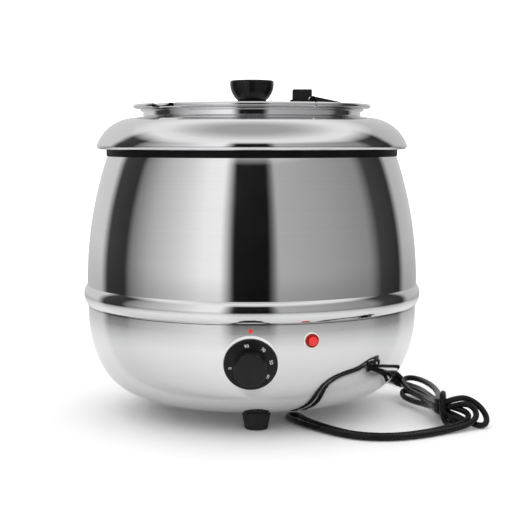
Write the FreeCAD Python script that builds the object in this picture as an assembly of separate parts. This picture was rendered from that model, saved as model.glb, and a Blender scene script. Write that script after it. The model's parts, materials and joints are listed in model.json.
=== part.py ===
import FreeCAD, Part
import math
import os

from FreeCAD import Placement, Rotation, Vector

# Electric soup kettle: a polished body with a water well, a lift-out pot, a domed
# ring with a two-part hinged lid, a thermostat dial, a pilot lamp and a mains lead.
# Everything is drawn round the body's own axis (X right, Y back, Z up, millimetres,
# z = 0 on the worktop). save() then moves it back along Y, so that the origin is
# under the middle of the kettle's own box, which the dial makes longer at the front.

# ---- body ------------------------------------------------------------------
sheet = 0.8             # stainless sheet
hem_z = 18.5            # bottom of the body
hem_r = 116.0
base_flange_r = 94.0    # inner edge of the flange turned in under the body
bowl_knee_r = 155.9     # where the bowl's two arcs meet
bowl_knee_z = 52.5
bowl_r = 166.1          # widest part of the bowl, up to the seam
bowl_top_z = 101.0
seam_z = 109.6
lap = 5.0               # the bowl's edge goes this far up inside the barrel
seam_edge = 1.2         # the barrel's straight edge below the bead
bead_r = 170.4
bead_height = 20.4
barrel_top_r = 146.1
barrel_top_z = 257.7
rim_z = 259.2           # top of the body's turned-in ledge
rim_r = 144.6
rim_ledge = 10.0        # width of that ledge

# ---- water well, gasket and pot --------------------------------------------
well_r = 131.8          # outside of the well's wall
well_flange_r = 143.6
well_floor_z = 44.2     # underside of the well
well_corner = 14.0
gasket_height = 4.6
gasket_width = 13.2
gasket_r = 145.0
pot_gap = 3.8           # between the well's wall and the pot's
pot_flange_r = 137.2
pot_depth = 204.0
pot_corner = 18.0

# ---- domed ring --------------------------------------------------------------
ring_lip_r = 156.7
ring_lip_round = 4.2
ring_gap = 1.6          # between the ring's foot and the pot's flange
ring_lean = 20.0        # degrees that the dome leans in at its lip
dome_r = 126.5          # where the dome turns into its flat shoulder
dome_height = 30.6      # from the ring's foot to that point
shoulder_rise = 1.3
neck_r = 109.6
neck_height = 7.6       # from the shoulder to the middle of the rolled edge
neck_roll = 1.9

# ---- lid -----------------------------------------------------------------------
lid_r = 119.7
lid_roll = 2.1
lid_seat_gap = 0.3      # between the closed lid and the neck's rolled edge
lid_panel_rise = 2.8    # the panel stands this much above the lid's seat
lid_slope = 6.5
lid_seat = 5.6
notch_azimuth = 225.0   # the ladle notch, counted from +X
notch_width = 32.0
notch_depth = 27.0
hinge_x = 60.6          # the lid is split along this line
hinge_split = 1.4
hinge_length = 60.0
pin_r = 1.5
pin_fit = 0.05
knuckle_r = 3.4
leaf = 1.0
leaf_reach = 26.0
knuckle_gap = 0.5
block_length = 24.0
block_width = 19.2
block_height = 13.8
ramp_height = 5.8
ramp_reach = 25.0
ramp_length = 13.0
middle_barrel = 28.0
hinge_relief = 0.5
rivet_r = 1.6
knob_r = 22.1
knob_height = 21.0
knob_neck_r = 14.0
knob_foot_r = 16.0
knob_foot_height = 3.4
knob_screw_r = 2.0
knob_screw_length = 14.0

# ---- front fittings ---------------------------------------------------------------
dial_z = 74.2
dial_r = 24.5
dial_skirt = 3.2
dial_gap = 0.6          # between the bezel and the dial's skirt
dial_grip_r = 15.6
dial_grip_height = 15.2
dial_grip_sides = 8
bezel_r = 26.4
bezel_bore = 20.5
bezel_height = 1.3
shaft_r = 3.0
shaft_fit = 0.06
thermostat_width = 36.0
thermostat_depth = 20.0
thermostat_screw_pitch = 28.0
thermostat_set_back = 3.2
blade_x = (-5.0, 7.0)   # the thermostat's two terminals
blade_length = 4.5
bush_r = 6.0
small_screw_r = 1.6
shaft_in_dial = 11.0
dial_grip_turn = 28.5
lamp_azimuth = 19.3     # to the right of the dial, degrees
lamp_z = 94.0
lamp_bezel_r = 7.4
lamp_lens_r = 6.5
lamp_face_r = 4.1
lamp_lens_height = 4.6
lamp_body_r = 5.2
lamp_body_length = 20.0
lamp_bezel_height = 0.9
gem_stem_r = 1.0
gem_z = 103.6
gem_r = 2.1

# ---- base ----------------------------------------------------------------------------
base_r = 110.0
base_plate = 1.0
foot_count = 3
foot_start = 2.7        # degrees from the front
foot_place_r = 99.5
foot_top_r = 14.0
foot_bottom_r = 11.3
foot_chamfer = 2.0
foot_screw_r = 2.0
foot_screw_head_r = 3.8
foot_well = 5.0         # depth of the screw's recess
base_screw_place_r = 101.0
vent_length = 9.6
vent_height = 2.4
vent_azimuth = 5.2      # from the front, degrees
vent_z = 21.4

# ---- heating -----------------------------------------------------------------------
heater_plate_r = 95.0
heater_plate = 3.0
element_ring_r = 70.0
element_r = 3.6
element_flat = 0.4
clamp_plate = 1.5
clamp_r = 84.0
stud_r = 2.5
stud_place_r = 50.0
stud_length = 17.0
stud_azimuths = (30.0, 150.0, 270.0)
element_gap = 28.0
cutout_r = 9.0
bulb_r = 3.0
bulb_length = 56.0
bulb_y = 34.0
terminal_x = (88.0, 104.0)
terminal_y = (-14.0, 22.0)
earth_place = (76.0, -30.0)
capillary_r = 0.9

# ---- mains lead ------------------------------------------------------------------------
cord_r = 2.9
gland_azimuth = 19.0    # behind +X, degrees
gland_slope = 40.0      # the boot points this far down
gland_z = 35.0
boot_length = 35.0
boot_root_r = 6.8
boot_tip_r = 5.0
boot_ribs = 5
rib_height = 0.9
gland_flange_r = 9.0
gland_inside = 6.0      # how far the boot reaches inside the body
plug_r = 17.0
plug_length = 36.0
hank_height = 30.0
hank_width = 46.0

# The lead's route, chosen by hand. The boot's end comes first, worked out below.
lead_points = [(177.0, 50.0, 6.5)]
bight_points = [
    (212.0, -96.0, 8.0), (208.0, -105.0, 5.5), (198.0, -113.0, 4.0), (184.0, -123.0, 3.2),
    (166.0, -136.0, 3.2), (143.0, -148.5, 3.2), (122.0, -152.5, 3.2), (101.0, -149.0, 3.2),
    (80.0, -134.5, 3.2), (59.0, -108.5, 3.2), (46.0, -90.0, 3.2), (38.8, -75.5, 3.2),
    (33.9, -62.5, 3.2), (38.6, -56.4, 3.2), (46.2, -57.8, 3.2), (51.0, -72.0, 3.2),
    (59.0, -90.0, 3.2), (70.5, -108.5, 3.2), (88.0, -131.0, 3.2), (104.0, -141.5, 3.2),
    (122.0, -145.0, 3.2), (141.0, -141.5, 3.2), (162.5, -129.5, 3.2), (179.5, -116.5, 3.3),
    (191.0, -107.5, 4.2), (199.0, -99.5, 7.0),
]
tail_points = [
    (186.0, 44.0, 6.0), (184.5, 68.0, 3.4), (176.0, 92.0, 3.2), (163.0, 115.0, 3.2),
    (148.0, 136.0, 3.3), (130.0, 152.0, 6.5), (113.0, 164.0, 12.5), (96.0, 173.5, 16.2),
    (79.0, 181.5, 16.6),
]
hank_start = (178.0, 30.0)
hank_end = (203.0, -92.0)

# ---- worked out from the sizes above ---------------------------------------------------
bead_top_z = seam_z + bead_height
gasket_top_z = rim_z + sheet + gasket_height
ring_foot_r = pot_flange_r + ring_gap
dome_z = gasket_top_z + dome_height
roll_z = dome_z + shoulder_rise + neck_height
roll_r = neck_r - sheet + neck_roll
lid_under_z = roll_z + neck_roll + lid_seat_gap
lid_seat_z = lid_under_z + sheet
panel_z = lid_seat_z + lid_panel_rise
pin_z = panel_z + leaf + knuckle_r - 0.4
heater_z = well_floor_z - heater_plate
clamp_top_z = heater_z - 2.0 * (element_r - element_flat)
base_top_z = hem_z + sheet + base_plate

nodes = {}


# ---- small drawing helpers ---------------------------------------------------------------
class Walk:
    """An outline in the plane through the axis, walked from point to point."""

    def __init__(self, r, z, heading=0.0):
        self.start = Vector(r, 0, z)
        self.here = self.start
        self.heading = math.radians(heading)
        self.edges = []

    def line(self, r, z):
        there = Vector(r, 0, z)
        self.edges.append(Part.LineSegment(self.here, there).toShape())
        self.heading = math.atan2(z - self.here.z, r - self.here.x)
        self.here = there
        return self

    def bend(self, r, z):
        """An arc that leaves along the present heading and ends at the point."""
        there = Vector(r, 0, z)
        step = there - self.here
        chord = math.atan2(step.z, step.x)
        turn = 2.0 * ((chord - self.heading + math.pi) % (2.0 * math.pi) - math.pi)
        sagitta = 0.5 * step.Length * math.tan(0.25 * turn)
        side = Vector(math.sin(chord), 0, -math.cos(chord))
        middle = self.here + step * 0.5 + side * sagitta
        self.edges.append(Part.Arc(self.here, middle, there).toShape())
        self.heading += turn
        self.here = there
        return self

    def arc(self, middle_r, middle_z, r, z):
        there = Vector(r, 0, z)
        curve = Part.Arc(self.here, Vector(middle_r, 0, middle_z), there)
        self.edges.append(curve.toShape())
        end = curve.tangent(curve.LastParameter)[0]
        self.heading = math.atan2(end.z, end.x)
        self.here = there
        return self

    def turned(self, angle=360.0):
        """The closed outline turned about the axis."""
        edges = list(self.edges)
        if (self.here - self.start).Length > 1e-6:
            edges.append(Part.LineSegment(self.here, self.start).toShape())
        face = Part.Face(Part.Wire(edges))
        return face.revolve(Vector(0, 0, 0), Vector(0, 0, 1), angle)

    def walled(self, thickness):
        """The open outline as sheet, thickened to the left of the walk."""
        inner = offset_edges(self.edges, thickness)
        first = Part.LineSegment(self.edges[-1].lastVertex().Point, inner[-1].lastVertex().Point)
        last = Part.LineSegment(inner[0].firstVertex().Point, self.edges[0].firstVertex().Point)
        parts = self.edges + [first.toShape()] + inner[::-1] + [last.toShape()]
        face = Part.Face(Part.Wire(Part.__sortEdges__(parts)))
        return face.revolve(Vector(0, 0, 0), Vector(0, 0, 1), 360.0)


def left_of(direction):
    return Vector(-direction.z, 0, direction.x).normalize()


def offset_edges(edges, distance):
    """The same edges moved sideways, with mitred corners."""
    ways = []
    for edge in edges:
        first, last = edge.tangentAt(edge.FirstParameter), edge.tangentAt(edge.LastParameter)
        ways.append((first, last))
    corners = []
    for i in range(len(edges) + 1):
        before = left_of(ways[max(i - 1, 0)][1 if i else 0])
        after = left_of(ways[min(i, len(edges) - 1)][0 if i < len(edges) else 1])
        point = edges[i].firstVertex().Point if i < len(edges) else edges[-1].lastVertex().Point
        between = (before + after).normalize()
        corners.append(point + between * (distance / between.dot(before)))
    moved = []
    for i, edge in enumerate(edges):
        if edge.Curve.TypeId == "Part::GeomLine":
            moved.append(Part.LineSegment(corners[i], corners[i + 1]).toShape())
            continue
        half = 0.5 * (edge.FirstParameter + edge.LastParameter)
        middle = edge.valueAt(half) + left_of(edge.tangentAt(half)) * distance
        moved.append(Part.Arc(corners[i], middle, corners[i + 1]).toShape())
    return moved


def rod(radius, start, end):
    start, end = Vector(*start), Vector(*end)
    return Part.makeCylinder(radius, (end - start).Length, start, end - start)


def ring(inner, outer, low, high):
    return Walk(inner, low).line(outer, low).line(outer, high).line(inner, high).turned()


def block(x0, x1, y0, y1, z0, z1):
    return Part.makeBox(x1 - x0, y1 - y0, z1 - z0, Vector(x0, y0, z0))


def around(azimuth, shape):
    """A shape drawn towards +X, turned about the axis to an azimuth in degrees."""
    return shape.copy().rotate(Vector(0, 0, 0), Vector(0, 0, 1), azimuth)


def polar(radius, azimuth, z=0.0):
    angle = math.radians(azimuth)
    return Vector(radius * math.cos(angle), radius * math.sin(angle), z)


def facing(place, outward):
    """The placement of a fitting: Z outward, X to the right of a viewer, Y upward."""
    up = Vector(0, 0, 1)
    return Placement(place, Rotation(up.cross(outward), up, outward, "ZXY"))


def seated(shape, place, outward):
    """A shape drawn up the Z axis, moved so that its axis points outward at a place."""
    moved = shape.copy()
    moved.Placement = facing(place, outward).multiply(moved.Placement)
    return moved


def save(name, shape):
    solids = shape.Solids
    assert solids and all(s.isValid() and s.Volume > 0 for s in solids), name
    nodes[name] = Part.Compound(solids) if len(solids) > 1 else solids[0]


# ---- body shells -----------------------------------------------------------------------
def bowl_walk():
    walk = Walk(base_flange_r, hem_z).line(hem_r - 1.0, hem_z)
    knee_turn = math.atan2(bowl_r - bowl_knee_r, bowl_top_z - bowl_knee_z)
    walk.bend(hem_r + 0.8, hem_z + 0.5)
    knee_heading = math.pi / 2.0 - 2.0 * knee_turn
    step_r, step_z = bowl_knee_r - walk.here.x, bowl_knee_z - walk.here.z
    chord = math.atan2(step_z, step_r)
    walk.heading = 2.0 * chord - knee_heading
    walk.bend(bowl_knee_r, bowl_knee_z).bend(bowl_r, bowl_top_z)
    return walk


def bowl_point(z):
    """Radius and downward lean, in degrees, of the bowl's outside at a height."""
    if z >= bowl_top_z:
        return bowl_r, 0.0
    drop, rise = bowl_r - bowl_knee_r, bowl_top_z - bowl_knee_z
    upper = (rise**2 + drop**2) / (2.0 * drop)
    if z >= bowl_knee_z:
        lean = math.asin((bowl_top_z - z) / upper)
        return bowl_r - upper * (1.0 - math.cos(lean)), math.degrees(lean)
    knee = math.asin(rise / upper)
    start_r, start_z = hem_r + 0.8, hem_z + 0.5
    step_r, step_z = bowl_knee_r - start_r, bowl_knee_z - start_z
    chord = math.atan2(step_r, step_z)
    lower = math.hypot(step_r, step_z) / (2.0 * math.sin(chord - knee))
    lean = math.asin((bowl_knee_z - z) / lower + math.sin(knee))
    return bowl_knee_r - lower * (math.cos(knee) - math.cos(lean)), math.degrees(lean)


def outward_at(azimuth, z, extra_slope=None):
    """A place on the bowl's outside and the way that its surface faces there."""
    radius, lean = bowl_point(z)
    slope = math.radians(lean if extra_slope is None else extra_slope)
    flat = polar(1.0, azimuth)
    outward = Vector(flat.x * math.cos(slope), flat.y * math.cos(slope), -math.sin(slope))
    return polar(radius, azimuth, z), outward


def foot_azimuths():
    return [270.0 + foot_start + 360.0 * i / foot_count for i in range(foot_count)]


def prism(radius, height, z=0.0, sides=6):
    corners = [polar(radius, 360.0 * i / sides, z) for i in range(sides)]
    face = Part.Face(Part.makePolygon(corners + corners[:1]))
    return face.extrude(Vector(0, 0, height))


def make_lower_shell():
    shell = bowl_walk().line(bowl_r, seam_z + lap).walled(sheet)
    holes = []
    for azimuth, z, radius in ((270.0, dial_z, bush_r + 0.2),
                               (270.0 + lamp_azimuth, lamp_z, lamp_body_r),
                               (270.0, gem_z, gem_stem_r)):
        place, outward = outward_at(azimuth, z)
        holes.append(seated(Part.makeCylinder(radius, 20, Vector(0, 0, -10)), place, outward))
    place, outward = outward_at(270.0, dial_z)
    for x in thermostat_screw_x():
        drill = Part.makeCylinder(small_screw_r, 20, Vector(x, 0, -10))
        holes.append(seated(drill, place, outward))
    place, outward = outward_at(gland_azimuth, gland_z, gland_slope)
    holes.append(seated(Part.makeCylinder(boot_root_r, 40, Vector(0, 0, -20)), place, outward))
    holes += base_drills()
    reach = bowl_point(vent_z)[0]
    half = 0.5 * (vent_length - vent_height)
    slot = block(-half, half, -reach - 12, -reach + 12, -vent_height / 2, vent_height / 2)
    for x in (-half, half):
        slot = slot.fuse(rod(vent_height / 2, (x, -reach - 12, 0), (x, -reach + 12, 0)))
    slot.translate(Vector(0, 0, vent_z))
    holes.append(around(vent_azimuth, slot))
    save("lower_shell", shell.cut(holes))


def make_upper_shell():
    walk = Walk(bowl_r + sheet, seam_z).line(bowl_r + sheet, seam_z + seam_edge)
    walk.arc(bead_r, seam_z + bead_height / 2, bowl_r + sheet, bead_top_z)
    walk.heading = math.pi / 2.0
    walk.bend(barrel_top_r, barrel_top_z)
    walk.bend(rim_r, rim_z).line(rim_r - rim_ledge, rim_z)
    save("upper_shell", walk.walled(sheet))


def base_drills():
    """The holes of the foot screws and the base screws."""
    drills = []
    low = Vector(0, 0, hem_z - 5)
    for azimuth in foot_azimuths():
        drills.append(Part.makeCylinder(foot_screw_r, 12, polar(foot_place_r, azimuth) + low))
        beside = polar(base_screw_place_r, azimuth + 60)
        drills.append(Part.makeCylinder(small_screw_r, 12, beside + low))
    return drills


def make_base():
    plate = Part.makeCylinder(base_r, base_plate, Vector(0, 0, hem_z + sheet))
    save("base_plate", plate.cut(base_drills()))
    foot_screws = []
    base_screws = []
    for number, azimuth in enumerate(foot_azimuths(), 1):
        foot = Walk(0, 0).line(foot_bottom_r - 1.5, 0).bend(foot_bottom_r, 1.3)
        foot.line(foot_top_r, hem_z - foot_chamfer).line(foot_top_r - foot_chamfer, hem_z)
        foot = foot.line(0, hem_z).turned()
        foot = foot.cut(Part.makeCylinder(foot_screw_head_r + 0.6, foot_well))
        foot = foot.cut(Part.makeCylinder(foot_screw_r, 40))
        foot.translate(polar(foot_place_r, azimuth))
        save("foot_%d" % number, foot)
        head_z = foot_well - 2.4
        screw = Part.makeCylinder(foot_screw_head_r, 2.4, Vector(0, 0, head_z))
        shank = Part.makeCylinder(foot_screw_r, base_top_z + 5 - head_z, Vector(0, 0, head_z))
        screw = screw.fuse(shank).fuse(prism(4.0, 3.2, base_top_z)).removeSplitter()
        screw.translate(polar(foot_place_r, azimuth))
        foot_screws.append(screw)
        screw = Part.makeCylinder(3.0, 1.8, Vector(0, 0, hem_z - 1.8))
        screw = screw.fuse(Part.makeCylinder(small_screw_r, 8.0, Vector(0, 0, hem_z - 1.0)))
        screw.translate(polar(base_screw_place_r, azimuth + 60))
        base_screws.append(screw.removeSplitter())
    save("foot_screws", Part.Compound(foot_screws))
    save("base_screws", Part.Compound(base_screws))


# ---- well, gasket, pot and ring ---------------------------------------------------------
def make_well():
    walk = Walk(0, well_floor_z).line(well_r - well_corner, well_floor_z)
    walk.bend(well_r, well_floor_z + well_corner).line(well_r, rim_z)
    walk.line(well_flange_r, rim_z)
    save("water_well", walk.walled(sheet))


def make_gasket():
    gasket = ring(gasket_r - gasket_width, gasket_r, rim_z + sheet, gasket_top_z)
    save("rim_gasket", gasket)


def make_pot():
    outside = well_r - sheet - pot_gap
    floor = gasket_top_z + sheet - pot_depth
    walk = Walk(0, floor).line(outside - pot_corner, floor).bend(outside, floor + pot_corner)
    walk.line(outside, gasket_top_z).line(pot_flange_r, gasket_top_z)
    save("inner_pot", walk.walled(sheet))


def make_ring():
    walk = Walk(ring_foot_r, gasket_top_z).line(ring_lip_r - ring_lip_round, gasket_top_z)
    walk.bend(ring_lip_r - 0.3, gasket_top_z + ring_lip_round)
    walk.heading = math.pi / 2.0 + math.radians(ring_lean)
    walk.bend(dome_r, dome_z)
    walk.bend(neck_r + 2.2, dome_z + shoulder_rise)
    walk.heading = math.pi
    walk.bend(neck_r, dome_z + shoulder_rise + 2.2)
    walk.line(neck_r, roll_z)
    roll = Part.makeTorus(roll_r, neck_roll, Vector(0, 0, roll_z))
    save("dome_ring", walk.walled(sheet).fuse(roll).removeSplitter())


# ---- lid ----------------------------------------------------------------------------------
def lid_disc():
    slope_r = neck_r - 3.3
    walk = Walk(0, panel_z).line(slope_r - lid_slope, panel_z).line(slope_r, lid_seat_z)
    walk.line(slope_r + lid_seat, lid_seat_z).line(lid_r - lid_roll - 1.2, lid_seat_z + 1.6)
    roll = Part.makeTorus(lid_r - lid_roll, lid_roll, Vector(0, 0, lid_seat_z + 0.3))
    return walk.walled(-sheet).fuse(roll).removeSplitter()


def rivet_places():
    out = leaf_reach - 4.5
    across = hinge_length / 2 - 6.0
    return [(hinge_x + side * out, end * across) for side in (-1, 1) for end in (-1, 1)]


def rivet_drills(side):
    places = [(x, y) for x, y in rivet_places() if (x - hinge_x) * side > 0]
    return [Part.makeCylinder(rivet_r, 400, Vector(x, y, 0)) for x, y in places]


def along_hinge(radius, extra=0.0, low=None, high=None):
    """A cylinder on the hinge line, from low to high along Y."""
    low = -hinge_length / 2 - extra if low is None else low
    high = hinge_length / 2 + extra if high is None else high
    return Part.makeCylinder(radius, high - low, Vector(hinge_x, low, pin_z), Vector(0, 1, 0))


def make_lid():
    disc = lid_disc()
    edge = lid_r + 10.0
    flap = disc.common(block(-edge, hinge_x - hinge_split / 2, -edge, edge, 0, 400))
    segment = disc.common(block(hinge_x + hinge_split / 2, edge, -edge, edge, 0, 400))
    half = notch_width / 2
    inner = lid_r - notch_depth + half
    notch = block(inner, edge, -half, half, 0, 400)
    notch = notch.fuse(Part.makeCylinder(half, 400, Vector(inner, 0, 0)))
    flap = flap.cut(around(notch_azimuth, notch))
    flap = flap.cut(Part.makeCylinder(knob_screw_r, 400)).cut(rivet_drills(-1))
    skirt = ring(neck_r - 2 * sheet, neck_r - sheet, lid_seat_z - 7.0, lid_seat_z - sheet / 2)
    skirt = skirt.common(block(hinge_x + 6.0, edge, -edge, edge, 0, 400))
    segment = segment.fuse(skirt).cut(rivet_drills(1))
    save("lid_flap", flap)
    save("lid_segment", segment.removeSplitter())


def hinge_leaf(side, spans, bore):
    """One leaf: a plate on the lid, with rolled barrels over the given spans."""
    near = hinge_x + side * (hinge_split / 2 + 0.3)
    far = hinge_x + side * leaf_reach
    half = hinge_length / 2
    top = panel_z + leaf
    plate = block(min(near, far), max(near, far), -half, half, panel_z, top)
    plate = plate.cut(along_hinge(knuckle_r + hinge_relief, 1.0))
    for low, high in spans:
        root = hinge_x + side * (knuckle_r + hinge_relief + 1.0)
        tongue = block(min(near, root), max(near, root), low, high, panel_z, top)
        plate = plate.fuse(tongue).fuse(along_hinge(knuckle_r, low=low, high=high))
    plate = plate.cut(along_hinge(bore, 1.0))
    return plate.cut(rivet_drills(side)).removeSplitter()


def make_hinge():
    half = hinge_length / 2
    low = panel_z + leaf
    edge = middle_barrel / 2
    ends = [(-half, -edge - knuckle_gap), (edge + knuckle_gap, half)]
    save("hinge_leaf_flap", hinge_leaf(-1, ends, pin_r + pin_fit))
    save("hinge_leaf_fixed", hinge_leaf(1, [(-edge, edge)], pin_r))
    save("hinge_pin", along_hinge(pin_r, 0.8))
    for name, side in (("rivets_flap", -1), ("rivets_fixed", 1)):
        rivets = []
        for x, y in [p for p in rivet_places() if (p[0] - hinge_x) * side > 0]:
            rivet = Part.makeCylinder(rivet_r, sheet + leaf, Vector(x, y, panel_z - sheet))
            rivet = rivet.fuse(Part.makeCylinder(2.7, 0.9, Vector(x, y, low)))
            rivet = rivet.fuse(Part.makeCylinder(2.4, 0.8, Vector(x, y, panel_z - sheet - 0.8)))
            rivets.append(rivet.removeSplitter())
        save(name, Part.Compound(rivets))

    right = hinge_x - 0.4
    left = right - block_width
    across = block_length / 2
    stop = block(left, right, -across, across, low, low + block_height)
    top_edges = [e for e in stop.Edges if abs(e.CenterOfMass.z - low - block_height) < 0.01]
    stop = stop.makeFillet(1.2, top_edges)
    stop = stop.fuse(block(left - 2.2, right, -across - 1, across + 1, low, low + 3.4))
    stop = stop.cut(along_hinge(knuckle_r + hinge_relief, 1.0))
    save("hinge_block", stop.removeSplitter())

    ramps = []
    start = hinge_x + 2.4
    for end in (-1, 1):
        corners = [(start, low), (start + ramp_reach, low), (start + ramp_reach, low + 0.5),
                   (start, low + ramp_height)]
        corners = [Vector(x, 0, z) for x, z in corners]
        ramp = Part.Face(Part.makePolygon(corners + corners[:1]))
        ramp = ramp.extrude(Vector(0, ramp_length, 0))
        inner = edge + 1.5
        ramp.translate(Vector(0, inner if end > 0 else -inner - ramp_length, 0))
        rivet_x, rivet_y = hinge_x + leaf_reach - 4.5, end * (half - 6.0)
        ramp = ramp.cut(Part.makeCylinder(3.0, 400, Vector(rivet_x, rivet_y, 0)))
        ramps.append(ramp.cut(along_hinge(knuckle_r + hinge_relief, 1.0)))
    save("hinge_ramps", Part.Compound(ramps))


def make_knob():
    neck = panel_z + knob_foot_height
    foot = Walk(knob_screw_r, panel_z).line(knob_foot_r, panel_z)
    foot.line(knob_foot_r, panel_z + 1.8).bend(knob_neck_r + 0.5, neck)
    save("knob_foot", foot.line(knob_screw_r, neck).turned())
    top = neck + knob_height
    knob = Walk(0, neck).line(knob_neck_r, neck)
    knob.arc(knob_r - 1.0, neck + 0.5 * knob_height, knob_r, top - 2.6)
    knob.heading = math.pi / 2.0
    knob.bend(knob_r - 1.6, top - 0.6).line(0, top)
    shank = Part.makeCylinder(knob_screw_r, knob_screw_length, Vector(0, 0, panel_z - sheet))
    save("lid_knob", knob.turned().cut(shank))
    head = Part.makeCylinder(4.0, 2.0, Vector(0, 0, panel_z - sheet - 2.0))
    save("knob_screw", head.fuse(shank).removeSplitter())


# ---- dial, thermostat and lamp --------------------------------------------------------------
def body_solid():
    """The bowl's outer form, filled, to seat fittings on."""
    return bowl_walk().line(bowl_r, seam_z).line(0, seam_z).line(0, hem_z).turned()


def thermostat_screw_x():
    return (-thermostat_screw_pitch / 2, thermostat_screw_pitch / 2)


def make_dial():
    place, outward = outward_at(270.0, dial_z)
    bezel = seated(ring(bezel_bore, bezel_r, -6.0, bezel_height), place, outward)
    save("dial_bezel", bezel.cut(body_solid()))
    low = bezel_height + dial_gap
    top = low + dial_skirt
    skirt = Walk(shaft_r, low + 2.0).line(dial_r - 2.5, low + 2.0).line(dial_r - 2.0, low)
    skirt.line(dial_r, low).line(dial_r, low + 1.6).bend(dial_r - 1.2, low + 2.4)
    skirt = skirt.line(dial_grip_r - 0.5, top).line(shaft_r, top).turned()
    grip = prism(dial_grip_r, dial_grip_height, top - 0.5, dial_grip_sides)
    grip.rotate(Vector(0, 0, 0), Vector(0, 0, 1), dial_grip_turn)
    grip = grip.makeFillet(0.7, [e for e in grip.Edges if e.CenterOfMass.z > top])
    dial = skirt.fuse(grip).cut(Part.makeCylinder(shaft_r, low + shaft_in_dial))
    save("thermostat_dial", seated(dial.removeSplitter(), place, outward))
    shaft = Part.makeCylinder(shaft_r, low + shaft_in_dial + 17.0, Vector(0, 0, -17.0))
    save("thermostat_shaft", seated(shaft, place, outward))

    half = thermostat_width / 2
    tall = 0.9 * half
    front = -thermostat_set_back
    back = front - thermostat_depth
    case = block(-half, half, -tall, tall, back, front)
    corners = [e for e in case.Edges if abs(e.CenterOfMass.z - (front + back) / 2) < 0.1]
    case = case.makeFillet(1.5, corners)
    case = case.fuse(Part.makeCylinder(bush_r, -front + 0.8, Vector(0, 0, front - 0.5)))
    for x in thermostat_screw_x():
        case = case.fuse(Part.makeCylinder(3.0, 1.6, Vector(x, 0, front - 0.2)))
        case = case.cut(Part.makeCylinder(small_screw_r, 20, Vector(x, 0, front - 6)))
    for x in blade_x:
        blade = block(x - 1.5, x + 1.5, -tall - blade_length, -tall, back + 5.6, back + 6.4)
        case = case.fuse(blade)
    case = case.cut(Part.makeCylinder(shaft_r + shaft_fit, 60, Vector(0, 0, -30)))
    save("thermostat_body", seated(case.removeSplitter(), place, outward))
    screws = []
    for x in thermostat_screw_x():
        screw = Part.makeCylinder(small_screw_r, 8.0, Vector(x, 0, front - 5))
        screw = screw.fuse(Part.makeCylinder(2.8, 1.5, Vector(x, 0, -0.35)))
        screws.append(seated(screw.removeSplitter(), place, outward))
    save("thermostat_screws", Part.Compound(screws))


def make_lamp():
    place, outward = outward_at(270.0 + lamp_azimuth, lamp_z)
    bezel = ring(lamp_body_r, lamp_bezel_r, -3.0, lamp_bezel_height)
    save("lamp_bezel", seated(bezel, place, outward).cut(body_solid()))
    low = 0.2
    case = Part.makeCylinder(lamp_body_r, lamp_body_length, Vector(0, 0, low - lamp_body_length))
    for x in (-2.8, 2.0):
        blade = block(x, x + 0.8, -1.5, 1.5, low - lamp_body_length - blade_length, low)
        case = case.fuse(blade)
    save("lamp_body", seated(case.removeSplitter(), place, outward))
    top = lamp_bezel_height + lamp_lens_height
    lens = Walk(0, low).line(lamp_body_r, low).line(lamp_body_r, lamp_bezel_height)
    lens.line(lamp_lens_r, lamp_bezel_height).line(lamp_lens_r, lamp_bezel_height + 0.8)
    lens.line(lamp_face_r + 0.7, top - 0.6).bend(lamp_face_r, top).line(0, top)
    save("lamp_lens", seated(lens.turned(), place, outward))
    place, outward = outward_at(270.0, gem_z)
    gem = Walk(0, -2.0).line(gem_stem_r, -2.0).line(gem_stem_r, 0.02).line(gem_r, 0.02)
    gem.line(gem_r, 0.3).bend(0.45 * gem_r, 1.5).line(0, 1.5)
    save("index_gem", seated(gem.turned(), place, outward))


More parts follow.
